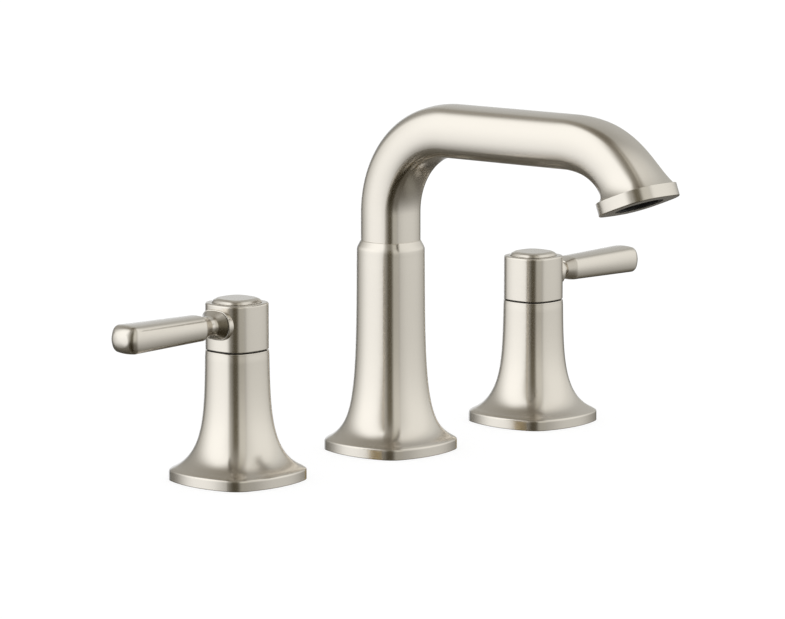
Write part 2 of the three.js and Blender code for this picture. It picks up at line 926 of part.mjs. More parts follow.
function aeratorHousing() {
  const inner = aeratorRadius - aeratorWall;
  const lip = inner - aeratorWall / 2;
  const profile = [
    [inner, aeratorInset],
    [aeratorRadius, aeratorInset],
    [aeratorRadius, aeratorTop],
    [lip, aeratorTop],
    [lip, aeratorTop - cellWall],
    [inner, aeratorTop - cellWall],
    [inner, aeratorInset],
  ];
  return intoOutlet(turned(profile, fineSides));
}

// Honeycomb screen: rows of six-sided cells inside a plain rim.
function aeratorScreen() {
  const radius = aeratorRadius - aeratorWall - seatGap;
  const low = aeratorInset + cellWall;
  const high = low + insertHeight;
  const pitch = cellAcross + cellWall;
  const rows = Math.floor(radius / pitch);
  const cell = hexagon(cellAcross, low - overrun, high + overrun);
  const cells = [];
  for (let row = -rows; row <= rows; row += 1) {
    const y = row * pitch * Math.sin(Math.PI / 3);
    for (let column = -rows; column <= rows; column += 1) {
      const x = (column + (row % 2 === 0 ? 0 : 1 / 2)) * pitch;
      if (Math.hypot(x, y) + pitch / 2 < radius) cells.push(cell.translate([x, y, 0]));
    }
  }
  return intoOutlet(cut(rod(radius, low, high, fineSides), ...cells));
}

function flowRegulator() {
  const radius = aeratorRadius - aeratorWall - seatGap;
  const low = aeratorInset + cellWall + insertHeight + seatGap;
  const body = rod(radius, low, low + regulatorHeight, fineSides);
  const hole = rod(regulatorHole, low - overrun, low + regulatorHeight + overrun, cordSides);
  const holes = [];
  for (let i = 0; i < regulatorHoles; i += 1) {
    holes.push(hole.translate([radius / 2, 0, 0]).rotate([0, 0, (i * 360) / regulatorHoles]));
  }
  return intoOutlet(cut(body, ...holes));
}

function aeratorSeal() {
  const low = aeratorTop + seatGap;
  const inner = aeratorRadius - aeratorWall - shellWall / 2;
  return intoOutlet(tube(aeratorRadius, inner, low, low + aeratorSealHeight));
}

// Spout shank

const noseFrom = columnThreadTo - tailNoseLength / 2;
const noseTop = noseFrom + tailNoseLength;

function ringHeights() {
  return [noseTop - ringInset, noseTop - ringInset - ringPitch];
}

function spoutShank() {
  const depth = ringGroove - 2 * seatGap;
  const half = (depth + seatGap) / 2;
  const profile = [
    [0, -tailLength],
    [tailRadius, -tailLength],
    [tailRadius, noseFrom - seatGap],
    [tailNoseRadius, noseFrom - seatGap],
  ];
  for (const height of ringHeights().reverse()) {
    profile.push([tailNoseRadius, height - half]);
    profile.push([tailNoseRadius - depth, height - half]);
    profile.push([tailNoseRadius - depth, height + half]);
    profile.push([tailNoseRadius, height + half]);
  }
  profile.push([tailNoseRadius, noseTop], [0, noseTop]);
  return cut(turned(profile, fineSides), rod(tailBore, -tailLength - overrun, noseTop + overrun));
}

function shankRing(height) {
  const depth = ringGroove - 2 * seatGap;
  return cordRing(tailNoseRadius - depth / 2, depth - seatGap, height, fineSides);
}

// Tee under the spout, with a nipple towards each valve.
function hoseTee() {
  const top = -tailLength + teeOverlap;
  const low = top - teeHeight;
  const crossAt = -tailLength - (teeHeight - teeOverlap) / 2;
  const arm = sideways(rod(outletRadius, -teeReach, teeReach), crossAt);
  const armDrill = sideways(rod(returnBore, -teeReach - overrun, teeReach + overrun, ringSides), crossAt);
  const socket = rod(tailRadius + seatGap, -tailLength - seatGap, top + overrun, fineSides);
  const mixing = rod(tailBore, low + teeWall, top);
  const body = join(rod(tailRadius + seatGap + teeWall, low, top, fineSides), arm);
  return cut(body, socket, mixing, armDrill);
}

// Assembly

function piece(name, body, material) {
  const mesh = new THREE.Mesh(geometryOf(body), material);
  mesh.name = name;
  return mesh;
}

function clampStack(prefix, radius) {
  return [
    piece(`${prefix}_deck_washer`, deckWasher(radius), rubber),
    piece(`${prefix}_steel_washer`, steelWasher(radius), steel),
    piece(`${prefix}_mounting_nut`, mountingNut(radius), brass),
  ];
}

function handle(prefix) {
  const group = new THREE.Group();
  group.add(
    piece(`${prefix}_bell`, bell(), nickel),
    piece(`${prefix}_base_gasket`, baseGasket(shankRadius + seatGap), rubber),
    piece(`${prefix}_valve_body`, valveBody(), brass),
    ...clampStack(prefix, shankRadius),
    piece(`${prefix}_seat_seal`, seatSeal(), rubber),
    piece(`${prefix}_lower_disc`, ceramicDisc(lowerDiscFrom, 0), ceramic),
    piece(`${prefix}_cartridge_barrel`, cartridgeBarrel(), brass),
    piece(`${prefix}_hub_bushing`, hubBushing(), nylon),
    piece(`${prefix}_upper_disc`, ceramicDisc(upperDiscFrom, 90), ceramic),
    piece(`${prefix}_stem`, stem(), brass),
    piece(`${prefix}_stem_ring`, stemRing(), rubber),
    piece(`${prefix}_stem_clip`, stemClip(), steel),
    piece(`${prefix}_hub`, hub(), nickel),
    piece(`${prefix}_handle_screw`, handleScrew(), steel),
    piece(`${prefix}_button_cap`, buttonCap(), nickel),
    piece(`${prefix}_lever_collar`, leverCollar(), nickel),
    piece(`${prefix}_lever`, lever(), nickel),
  );
  return group;
}

function spout() {
  const [upper, lower] = ringHeights();
  const group = new THREE.Group();
  group.add(
    piece("spout_column", column(), nickel),
    piece("spout_tube", spoutTube(), nickel),
    piece("spout_base_gasket", baseGasket(shankRadius + seatGap), rubber),
    piece("spout_shank", spoutShank(), brass),
    piece("spout_upper_ring", shankRing(upper), rubber),
    piece("spout_lower_ring", shankRing(lower), rubber),
    ...clampStack("spout", tailRadius),
    piece("hose_tee", hoseTee(), brass),
    piece("aerator_housing", aeratorHousing(), blackPlastic),
    piece("aerator_screen", aeratorScreen(), blackPlastic),
    piece("flow_regulator", flowRegulator(), nylon),
    piece("aerator_seal", aeratorSeal(), rubber),
  );
  return group;
}

const hot = handle("hot");
hot.position.x = -handleSpacing / 2;
hot.rotation.z = Math.PI;

const cold = handle("cold");
cold.position.x = handleSpacing / 2;

const faucet = new THREE.Group();
faucet.add(hot, cold, spout());

export default faucet;
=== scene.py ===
# Looks of a widespread basin faucet: fine meshes of the nickel pieces, finishes, studio and camera.
# Metres, +Z up, spout towards -Y, handles along X, origin at the spout's foot on the deck plane.

import json
import math

import bpy
from mathutils import Matrix, Vector


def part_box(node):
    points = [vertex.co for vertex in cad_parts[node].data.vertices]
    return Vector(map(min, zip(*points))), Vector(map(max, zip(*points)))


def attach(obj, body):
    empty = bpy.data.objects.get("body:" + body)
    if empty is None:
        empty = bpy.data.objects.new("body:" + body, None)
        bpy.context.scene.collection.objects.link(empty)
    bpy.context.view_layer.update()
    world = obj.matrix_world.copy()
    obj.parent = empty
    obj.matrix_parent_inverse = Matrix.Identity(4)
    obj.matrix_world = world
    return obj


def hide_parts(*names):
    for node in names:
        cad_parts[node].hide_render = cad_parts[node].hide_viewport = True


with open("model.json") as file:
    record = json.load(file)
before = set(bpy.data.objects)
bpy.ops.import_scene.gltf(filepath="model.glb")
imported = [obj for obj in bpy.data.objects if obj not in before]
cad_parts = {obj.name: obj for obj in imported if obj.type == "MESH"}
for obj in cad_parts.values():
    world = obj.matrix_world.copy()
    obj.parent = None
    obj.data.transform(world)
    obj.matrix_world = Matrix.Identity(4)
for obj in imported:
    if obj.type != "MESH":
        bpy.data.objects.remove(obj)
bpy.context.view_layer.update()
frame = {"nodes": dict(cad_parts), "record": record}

# Driving sizes that the frame gives
COLUMN_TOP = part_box("spout_column")[1].z
BELL_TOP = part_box("hot_bell")[1].z
HANDLE_SIDE = {"hot": -1, "cold": 1}
HANDLE_AT = {prefix: sum(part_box(f"{prefix}_bell"), Vector()).x / 2 for prefix in HANDLE_SIDE}

# Bowed square: half width over half diagonal, and the corner radius at foot and neck
FLAT_SHARE = 0.894
TUBE_FLAT_SHARE = 0.886
FOOT_ROUND = 0.0119
NECK_ROUND = 0.008

# Foot and flare
FOOT_CORNER = 0.03135
FOOT_HEIGHT = 0.0052
FOOT_EDGE = 0.0003
FOOT_TOP_EDGE = 0.0006
FOOT_TOP_ROUND = 0.001
FOOT_BLEND = 0.0008
SHELL_WALL = 0.0022
RECESS_CORNER = 0.02805
RECESS_HEIGHT = 0.0023
MOUTH_CORNER = 0.02555
LEDGE_TOP = 0.0033

# Handle base
BELL = {"neck": 0.01455, "swell": 0.0129, "sweep": 0.0111, "toe": 0.0026}
BELL_EDGE = 0.00035
BELL_BORE = 0.0108
NOSE_BORE = 0.0122
BELL_BORE_FROM = 0.038
BELL_HOLLOW_TO = 0.024
HOLLOW_STEPS = 12

# Spout column
COLUMN = {"neck": 0.01605, "swell": 0.0089, "sweep": 0.016, "toe": 0.0036}
SHOULDER_DROP = 0.0034
COLUMN_TOP_CORNER = 0.0142
SHOULDER_ROUND = 0.004
SHOULDER_TOP_ROUND = 0.0004
SHOULDER_LEAD = 0.004
COLUMN_HOLLOW_TO = 0.027
SHANK_BORE = 0.01075
SHANK_BORE_TO = 0.042
SOCKET_BORE = 0.0115
SOCKET_DEPTH = 0.014
COLUMN_WATERWAY = 0.0087

# Hub and button
SHADOW_GAP = 0.0006
HUB_HEIGHT = 0.0212
HUB_CORNER = 0.01443
HUB_TOP_EDGE = 0.0008
HUB_FOOT_EDGE = 0.0003
HUB_INNER_SHARE = 0.7
SKIRT_RADIUS = 0.008
SKIRT_LENGTH = 0.0052
STEM_BORE = 0.0042
HUB_FLOOR = 0.0098
HUB_WEB = 0.0035
SCREW_BORE = 0.0023
WELL_RADIUS = 0.007
BUTTON_CORNER = 0.0114
BUTTON_TOP_CORNER = 0.009
BUTTON_HEIGHT = 0.0019
BUTTON_RIM = 0.00015
BUTTON_RIM_ROUND = 0.0001
BUTTON_SHOULDER = (0.0106, 0.0012)
BUTTON_SHOULDER_ROUND = 0.0008
BUTTON_TOP_ROUND = 0.0006
BUTTON_SEAT = 0.0001
BUTTON_ROUND_SHARE = 0.55
PLUG_RADIUS = 0.0067
PLUG_LENGTH = 0.0032
PLUG_WALL = 0.0012

# Painted shadow: a thin dark ring in the gap under the hub, standing in for the shade there
SHADE_RING_CORNER = 0.01375
SHADE_RING_BORE = 0.0084
SHADE_RING_GAP = 0.00004
SHADE_RING_EDGE_SHARE = 0.25

# Lever
LEVER_HEIGHT = 0.07245
LEVER_REACH = 0.0728
ROOT_AT = 0.0204
ROOT_HALF = (0.0052, 0.0044)
ROOT_ROUND = 0.004
GRIP_FROM = 0.0256
GRIP_EVEN = 0.0275
GRIP_HALF = (0.007, 0.0058)
TIP_HALF = (0.00795, 0.0065)
TIP_EASE = 0.0042
TIP_DOME = 0.0003
TIP_SWEEP = math.radians(80)
TIP_STEPS = 14
DOME_SHARES = (0.85, 0.6, 0.3, 0.05)
GRIP_STEPS = 12
GRIP_ROUND = 0.003
TIP_ROUND = 0.0046
GRIP_BOW = 0.0003
SPIGOT_RADIUS = 0.0035
COLLAR_REACH = 0.0139
COLLAR_HALF = (0.0092, 0.0069)
COLLAR_ROUND = 0.0058
COLLAR_BOW = 0.0002
COLLAR_EDGE = 0.0004
COLLAR_BACK = 0.0109
COLLAR_GAP = 0.0003
THROAT_AT = 0.0201
THROAT_HALF = (0.0046, 0.0039)
WAIST_AT = 0.0173
WAIST_HALF = 0.0048
WAIST_ROUND = 0.0026
NECK_HALF = (0.0087, 0.0064)
NECK_ROUND_SHARE = 0.85

# Spout tube
TUBE_CORNER = 0.01405
TUBE_ROUND_SHARE = 0.458
TUBE_FOOT = 0.0989
ELBOW_START = 0.1126
ELBOW_RADIUS = 0.0411
ARM_LENGTH = 0.0704
ARM_RISE = math.radians(0.5)
NOSE_LEAD = 0.0557
NOSE_LEAD_TURN = math.radians(13.6)
NOSE_BEND = 0.0385
NOSE_TILT = math.radians(29.7)
NOSE_CORNER = 0.0139
NOSE_TAPER = 0.025
NOSE_EASE = 0.03
OUTLET_TILT = math.radians(20.75)
OUTLET_FLARE = 0.01757
OUTLET_SWEEP = 0.00475
OUTLET_CORNER = 0.0186
OUTLET_FLAT_SHARE = 0.9
OUTLET_ROUND_SHARE = 0.6
OUTLET_BAND = 0.0061
OUTLET_EDGE = 0.00045
WATERWAY = 0.009
SPIGOT = 0.0112
SPIGOT_LOW = 0.0856
POCKET = 0.01105
POCKET_DEPTH = 0.0094

# Stations along the spout's path
LEG_STEPS = 6
ELBOW_STEPS = 40
ARM_STEPS = 24
LEAD_STEPS = 16
BEND_STEPS = 56

# Aerator housing, almost flush with the outlet
HOUSING_RADIUS = 0.01075
HOUSING_BORE = 0.00885
HOUSING_FACE = 0.0001
HOUSING_DEPTH = 0.0076
HOUSING_EDGE = 0.0004

# Mesh steps
SIDE_STEPS = 8
CORNER_STEPS = 12
EDGE_STEPS = 4
FLARE_STEPS = 44
SHARP_ANGLE = math.radians(32)

SQRT2 = math.sqrt(2)
QUARTER = math.pi / 2
NICKEL_SLOT = "nickel"
DARK_SLOT = "black_plastic"


# Outlines

def arc_points(arcs):
    """Points along arcs of (x, y, radius, start, end, steps), each without its end."""
    points = []
    for x, y, radius, start, end, steps in arcs:
        for i in range(steps):
            angle = start + (end - start) * i / steps
            points.append(Vector((x + radius * math.cos(angle), y + radius * math.sin(angle))))
    return points


def bowed_square(corner, flat, rounding):
    """Four shallow side arcs and four corner arcs that meet in line, as (x, y) pairs."""
    reach = (corner - rounding) / SQRT2
    lean = reach - flat
    bow = (rounding ** 2 - reach ** 2 - lean ** 2) / (2 * (lean + rounding))
    swing = math.atan2(reach, reach - flat + bow)
    arcs = (
        (flat - bow, 0, bow, -swing, swing, SIDE_STEPS),
        (reach, reach, rounding, swing, QUARTER - swing, CORNER_STEPS),
    )
    points = []
    for side in range(4):
        turn = Matrix.Rotation(side * QUARTER, 2)
        points.extend(turn @ point for point in arc_points(arcs))
    return points


def bowed_bar(half, rounding, bow):
    """The same for a rectangle: its sides stand out by bow in the middle."""
    width, height = half
    rounding = min(rounding, (height - bow) * NECK_ROUND_SHARE)
    across = width - bow - rounding
    up = height - bow - rounding
    side = ((bow + rounding) ** 2 - rounding ** 2 + up ** 2) / (2 * bow)
    top = ((bow + rounding) ** 2 - rounding ** 2 + across ** 2) / (2 * bow)
    side_swing = math.atan2(up, across - width + side)
    top_swing = math.atan2(across, up - height + top)
    half_turn = 2 * QUARTER
    arcs = (
        (width - side, 0, side, -side_swing, side_swing, SIDE_STEPS),
        (across, up, rounding, side_swing, QUARTER - top_swing, CORNER_STEPS),
        (0, height - top, top, QUARTER - top_swing, QUARTER + top_swing, SIDE_STEPS),
        (-across, up, rounding, QUARTER + top_swing, half_turn - side_swing, CORNER_STEPS),
    )
    points = arc_points(arcs)
    return points + [-point for point in points]


# Outlines that give circles the directions of their points
REFERENCE_ROUND = 0.45
REFERENCE = bowed_square(1, FLAT_SHARE, REFERENCE_ROUND)
REFERENCE_HALF = (0.007, 0.0055)
BAR_REFERENCE = bowed_bar(REFERENCE_HALF, GRIP_ROUND, GRIP_BOW)


def circle(radius):
    """A circle whose points face the same way as the bowed square's."""
    return [point.normalized() * radius for point in REFERENCE]


def base_round(corner, neck):
    return NECK_ROUND + (FOOT_ROUND - NECK_ROUND) * (corner - neck) / (FOOT_CORNER - neck)


def level(outline, height):
    return [Vector((point.x, point.y, height)) for point in outline]


def filleted(profile):
    """Round a chain of (size, height, radius) points, keeping a support point beside each arc."""
    chain = []
    for i, (size, height, radius) in enumerate(profile):
        here = Vector((size, height))
        if radius == 0 or i in (0, len(profile) - 1):
            chain.append(here)
            continue
        before = (Vector(profile[i - 1][:2]) - here).normalized()
        after = (Vector(profile[i + 1][:2]) - here).normalized()
        half = before.angle(after) / 2
        setback = radius / math.tan(half)
        centre = here + (before + after).normalized() * radius / math.sin(half)
        start = here + before * setback
        end = here + after * setback
        chain.append(start + before * radius / 3)
        sweep = (start - centre).angle_signed(end - centre)
        for step in range(EDGE_STEPS + 1):
            turn = Matrix.Rotation(-sweep * step / EDGE_STEPS, 2)
            chain.append(centre + turn @ (start - centre))
        chain.append(end + after * radius / 3)
    return chain


# Meshes

def skin(name, rings, closed=False):
    """A mesh through rings of equal point counts, either closed on itself or capped at both ends."""
    count = len(rings[0])
    points = [point for ring in rings for point in ring]
    faces = []
    rows = len(rings) if closed else len(rings) - 1
    for row in range(rows):
        low = row * count
        high = (row + 1) % len(rings) * count
        for i in range(count):
            after = (i + 1) % count
            faces.append((low + i, low + after, high + after, high + i))
    if not closed:
        faces.append(tuple(range(count - 1, -1, -1)))
        faces.append(tuple(range(len(points) - count, len(points))))
    mesh = bpy.data.meshes.new(name)
    mesh.from_pydata(points, [], faces)
    mesh.polygons.foreach_set("use_smooth", [True] * len(mesh.polygons))
    piece = bpy.data.objects.new(name, mesh)
    bpy.context.scene.collection.objects.link(piece)
    mesh.set_sharp_from_angle(angle=SHARP_ANGLE)
    return piece


def place(piece, move=(0, 0, 0), turn=0):
    """Set a piece where it belongs by moving its points, so that its object stays at the origin."""
    piece.data.transform(Matrix.Translation(move) @ Matrix.Rotation(turn, 4, "Z"))
    return piece


def finish_piece(piece, material, body, slot, *nodes):
    """Dress a piece, set it on its body and hide the nodes that it stands for."""
    piece.data.materials.append(material)
    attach(piece, body)
    if nodes:
        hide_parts(*nodes)
    return piece


# Flared bases

def flare_at(base, rise):
    swell = base["swell"] * math.exp(-rise / base["sweep"])
    toe = (FOOT_CORNER - base["neck"] - base["swell"]) * math.exp(-rise / base["toe"])
    return base["neck"] + swell + toe


def square_rings(chain, base):
    rings = []
    for corner, height in chain:
        rounding = base_round(corner, base["neck"])
        rings.append(level(bowed_square(corner, corner * FLAT_SHARE, rounding), height))
    return rings


def foot_and_flare(base, top):
    """Half diagonals and heights from the gasket recess out, round the foot and up the flare."""
    start = flare_at(base, FOOT_BLEND)
    slope = FOOT_BLEND / (FOOT_CORNER - FOOT_TOP_EDGE - start)
    chain = filleted([
        (RECESS_CORNER, RECESS_HEIGHT, 0),
        (RECESS_CORNER, 0, 0),
        (FOOT_CORNER, 0, FOOT_EDGE),
        (FOOT_CORNER, FOOT_HEIGHT - FOOT_TOP_EDGE * slope, FOOT_TOP_ROUND),
        (start, FOOT_HEIGHT + FOOT_BLEND, 0),
    ])
    for i in range(1, FLARE_STEPS):
        rise = FOOT_BLEND + (top - FOOT_HEIGHT - FOOT_BLEND) * (i / FLARE_STEPS) ** 2
        chain.append(Vector((flare_at(base, rise), FOOT_HEIGHT + rise)))
    return chain


def hollow(base, low, high):
    """The inside of a flared base, one wall in, from high down to its foot."""
    chain = []
    for i in range(HOLLOW_STEPS + 1):
        rise = (high - low) * (1 - i / HOLLOW_STEPS)
        chain.append(Vector((flare_at(base, rise) - SHELL_WALL, low + rise)))
    chain.extend([Vector((MOUTH_CORNER, LEDGE_TOP)), Vector((MOUTH_CORNER, RECESS_HEIGHT))])
    return chain


def bore_rings(steps):
    return [level(circle(radius), height) for radius, height in steps]


def bell(prefix):
    outside = foot_and_flare(BELL, BELL_TOP)
    edge = filleted([
        (BELL["neck"], BELL_TOP - 3 * BELL_EDGE, 0),
        (BELL["neck"], BELL_TOP, BELL_EDGE),
        ((BELL["neck"] + BELL_BORE) / 2, BELL_TOP, 0),
    ])
    bores = bore_rings([
        (BELL_BORE, BELL_TOP),
        (BELL_BORE, BELL_BORE_FROM),
        (NOSE_BORE - SHELL_WALL, BELL_BORE_FROM),
        (NOSE_BORE - SHELL_WALL, BELL_HOLLOW_TO + SHELL_WALL),
        (NOSE_BORE, BELL_HOLLOW_TO),
    ])
    inside = square_rings(hollow(BELL, FOOT_HEIGHT, BELL_HOLLOW_TO), BELL)
    rings = square_rings(outside + edge, BELL) + bores + inside
    piece = skin(f"{prefix}_bell_skin", rings, closed=True)
    return place(piece, (HANDLE_AT[prefix], 0, 0))


def column():
    shoulder_at = COLUMN_TOP - SHOULDER_DROP
    neck = COLUMN["neck"]
    outside = foot_and_flare(COLUMN, shoulder_at - SHOULDER_LEAD)
    edge = filleted([
        (neck, shoulder_at - SHOULDER_LEAD, 0),
        (neck, shoulder_at, SHOULDER_ROUND),
        (COLUMN_TOP_CORNER, COLUMN_TOP, SHOULDER_TOP_ROUND),
        ((COLUMN_TOP_CORNER + SOCKET_BORE) / 2, COLUMN_TOP, 0),
    ])
    bores = bore_rings([
        (SOCKET_BORE, COLUMN_TOP),
        (SOCKET_BORE, COLUMN_TOP - SOCKET_DEPTH),
        (COLUMN_WATERWAY, COLUMN_TOP - SOCKET_DEPTH),
        (COLUMN_WATERWAY, SHANK_BORE_TO),
        (SHANK_BORE, SHANK_BORE_TO),
        (SHANK_BORE, COLUMN_HOLLOW_TO),
    ])
    inside = square_rings(hollow(COLUMN, FOOT_HEIGHT, COLUMN_HOLLOW_TO), COLUMN)
    rings = square_rings(outside + edge, COLUMN) + bores + inside
    return skin("spout_column_skin", rings, closed=True)


# Hub and button

def hub(prefix):
    low = BELL_TOP + SHADOW_GAP
    top = low + HUB_HEIGHT
    web = low + HUB_FLOOR
    outside = filleted([
        (HUB_CORNER * HUB_INNER_SHARE, low, 0),
        (HUB_CORNER, low, HUB_FOOT_EDGE),
        (HUB_CORNER, top, HUB_TOP_EDGE),
        (HUB_CORNER * HUB_INNER_SHARE, top, 0),
    ])
    squares = []
    for corner, height in outside:
        rounding = max(NECK_ROUND - (HUB_CORNER - corner), corner / 2)
        squares.append(level(bowed_square(corner, corner * FLAT_SHARE, rounding), height))
    top_bores = bore_rings([
        (WELL_RADIUS, top),
        (WELL_RADIUS, web + HUB_WEB),
        (SCREW_BORE, web + HUB_WEB),
        (SCREW_BORE, web),
        (STEM_BORE, web),
        (STEM_BORE, low - SKIRT_LENGTH),
        (SKIRT_RADIUS, low - SKIRT_LENGTH),
        (SKIRT_RADIUS, low),
    ])
    piece = skin(f"{prefix}_hub_skin", squares + top_bores, closed=True)
    return place(piece, (HANDLE_AT[prefix], 0, 0))


def painted_shade_ring(prefix):
    """The thin dark ring between hub and bell, set back from both: painted shadow in the gap."""
    low = BELL_TOP + SHADE_RING_GAP
    high = BELL_TOP + SHADOW_GAP - SHADE_RING_GAP
    edge = (high - low) * SHADE_RING_EDGE_SHARE
    middle = (SHADE_RING_CORNER + SHADE_RING_BORE) / 2
    chain = filleted([
        (middle, low, 0),
        (SHADE_RING_CORNER, low, edge),
        (SHADE_RING_CORNER, high, edge),
        (middle, high, 0),
    ])
    rings = []
    for corner, height in chain:
        rings.append(level(bowed_square(corner, corner * FLAT_SHARE, corner / 2), height))
    rings.extend(bore_rings([(SHADE_RING_BORE, high), (SHADE_RING_BORE, low)]))
    piece = skin(f"{prefix}_painted_shade_ring", rings, closed=True)
    return place(piece, (HANDLE_AT[prefix], 0, 0))


def button(prefix):
    low = BELL_TOP + SHADOW_GAP + HUB_HEIGHT + BUTTON_SEAT
    top = low + BUTTON_HEIGHT
    shoulder, shoulder_rise = BUTTON_SHOULDER
    chain = filleted([
        (PLUG_RADIUS, low, 0),
        (BUTTON_CORNER, low, 0),
        (BUTTON_CORNER, low + BUTTON_RIM, BUTTON_RIM_ROUND),
        (shoulder, low + shoulder_rise, BUTTON_SHOULDER_ROUND),
        (BUTTON_TOP_CORNER, top, BUTTON_TOP_ROUND),
        (BUTTON_TOP_CORNER / 2, top, 0),
    ])
    squares = []
    for corner, height in chain:
        rounding = corner * BUTTON_ROUND_SHARE
        squares.append(level(bowed_square(corner, corner * FLAT_SHARE, rounding), height))
    plug = bore_rings([
        (PLUG_RADIUS - PLUG_WALL, low + BUTTON_RIM),
        (PLUG_RADIUS - PLUG_WALL, low - PLUG_LENGTH),
        (PLUG_RADIUS, low - PLUG_LENGTH),
        (PLUG_RADIUS, low),
    ])
    piece = skin(f"{prefix}_button_skin", plug + squares)
    return place(piece, (HANDLE_AT[prefix], 0, 0))


# Lever, drawn along +X and turned to its side

def stand(outline, distance):
    """Stand an outline across the lever, at a distance along it."""
    return [Vector((distance, point.x, LEVER_HEIGHT + point.y)) for point in outline]


def bar_ring(distance, half, rounding, bow):
    return stand(bowed_bar(half, rounding, bow), distance)


def round_ring(distance, radius):
    return stand([point.normalized() * radius for point in BAR_REFERENCE], distance)


def inset(half, *amounts):
    return tuple(size - amount for size, amount in zip(half, amounts))


def between(first, second, share):
    return tuple(start + (end - start) * share for start, end in zip(first, second))


def tapered(profile, ends):
    """Rings through (half width, distance, round) points, between a pair of end sections."""
    narrow, wide = ends
    rings = []
    for width, distance in filleted(profile):
        share = (width - narrow[0]) / (wide[0] - narrow[0])
        rings.append((distance, between(narrow, wide, share)))
    return rings


def neck_rings():
    """The neck narrows steeply from the collar to its waist, then runs on to the root."""
    profile = (
        (NECK_HALF[0], COLLAR_REACH + COLLAR_GAP, 0),
        (WAIST_HALF, WAIST_AT, WAIST_ROUND),
        (THROAT_HALF[0], THROAT_AT, 0),
    )
    rings = tapered(profile, (THROAT_HALF, NECK_HALF))
    return [bar_ring(distance, half, COLLAR_ROUND, COLLAR_BOW) for distance, half in rings]


def root_rings():
    """The grip's root spreads in a straight taper to its full section."""
    profile = (
        (ROOT_HALF[0], ROOT_AT, 0),
        (GRIP_HALF[0], GRIP_FROM, ROOT_ROUND),
        (GRIP_HALF[0], GRIP_EVEN, 0),
    )
    rings = tapered(profile, (ROOT_HALF, GRIP_HALF))
    return [bar_ring(distance, half, GRIP_ROUND, GRIP_BOW) for distance, half in rings]


def tip_rings():
    """A rounded tip whose corners soften, with a slight dome on its end."""
    edge_end = LEVER_REACH - TIP_DOME
    rings = []
    for i in range(TIP_STEPS + 1):
        angle = TIP_SWEEP * i / TIP_STEPS
        amount = TIP_EASE * (1 - math.cos(angle))
        distance = edge_end - TIP_EASE * (1 - math.sin(angle))
        rounding = GRIP_ROUND + (TIP_ROUND - GRIP_ROUND) * math.sin(angle) - amount / 2
        last = (distance, inset(TIP_HALF, amount, amount), rounding)
        rings.append(bar_ring(*last, GRIP_BOW))
    start, half, rounding = last
    for share in DOME_SHARES:
        distance = start + (LEVER_REACH - start) * (1 - share ** 2)
        size = tuple(value * share for value in half)
        rings.append(bar_ring(distance, size, rounding * share, GRIP_BOW * share))
    return rings


def lever(prefix):
    spigot = (COLLAR_BACK, COLLAR_REACH + COLLAR_GAP)
    rings = [round_ring(distance, SPIGOT_RADIUS) for distance in spigot]
    rings.extend(neck_rings())
    rings.extend(root_rings())
    grip_to = LEVER_REACH - TIP_DOME - TIP_EASE
    for i in range(1, GRIP_STEPS):
        share = i / GRIP_STEPS
        half = between(GRIP_HALF, TIP_HALF, share)
        distance = GRIP_EVEN + (grip_to - GRIP_EVEN) * share
        rings.append(bar_ring(distance, half, GRIP_ROUND, GRIP_BOW))
    rings.extend(tip_rings())
    piece = skin(f"{prefix}_lever_skin", rings)
    return place(piece, (HANDLE_AT[prefix], 0, 0), lever_turn(prefix))


def lever_turn(prefix):
    return 0 if HANDLE_SIDE[prefix] > 0 else math.pi


def collar(prefix):
    hole = SPIGOT_RADIUS + COLLAR_GAP
    rings = [
        round_ring(COLLAR_BACK, hole),
        bar_ring(COLLAR_BACK, COLLAR_HALF, COLLAR_ROUND, COLLAR_BOW),
        bar_ring(COLLAR_REACH - 2 * COLLAR_EDGE, COLLAR_HALF, COLLAR_ROUND, COLLAR_BOW),
    ]
    for i in range(EDGE_STEPS + 1):
        angle = QUARTER * i / EDGE_STEPS
        amount = COLLAR_EDGE * (1 - math.cos(angle))
        distance = COLLAR_REACH - COLLAR_EDGE * (1 - math.sin(angle))
        half = inset(COLLAR_HALF, amount, amount)
        rings.append(bar_ring(distance, half, COLLAR_ROUND - amount, COLLAR_BOW))
    rings.append(round_ring(COLLAR_REACH, hole))
    piece = skin(f"{prefix}_collar_skin", rings, closed=True)
    return place(piece, (HANDLE_AT[prefix], 0, 0), lever_turn(prefix))


# Spout tube

def spout_path():
    """Stations along the centre line: (forward, up, heading, distance)."""
    elbow_turn = QUARTER - ARM_RISE
    bend_turn = ARM_RISE + QUARTER - NOSE_LEAD_TURN - NOSE_TILT
    stretches = (
        (ELBOW_START - TUBE_FOOT, 0, LEG_STEPS),
        (ELBOW_RADIUS * elbow_turn, -1 / ELBOW_RADIUS, ELBOW_STEPS),
        (ARM_LENGTH, 0, ARM_STEPS),
        (NOSE_LEAD * NOSE_LEAD_TURN, -1 / NOSE_LEAD, LEAD_STEPS),
        (NOSE_BEND * bend_turn, -1 / NOSE_BEND, BEND_STEPS),
    )
    forward, up, heading, distance = 0, TUBE_FOOT, QUARTER, 0
    stations = [(forward, up, heading, distance)]
    for length, turn, steps in stretches:
        step = length / steps
        for _ in range(steps):
            swing = turn * step
            chord = step if turn == 0 else 2 * math.sin(swing / 2) / turn
            forward += chord * math.cos(heading + swing / 2)
            up += chord * math.sin(heading + swing / 2)
            heading += swing
            distance += step
            stations.append((forward, up, heading, distance))
    return stations


def across(station, outline):
    """Stand an outline across the path at a station."""
    forward, up, heading, _ = station
    rings = []
    for point in outline:
        out = forward - point.y * math.sin(heading)
        rise = up + point.y * math.cos(heading)
        rings.append(Vector((point.x, -out, rise)))
    return rings


def onward(station, amount):
    forward, up, heading, distance = station
    return (
        forward + amount * math.cos(heading),
        up + amount * math.sin(heading),
        heading,
        distance + amount,
    )


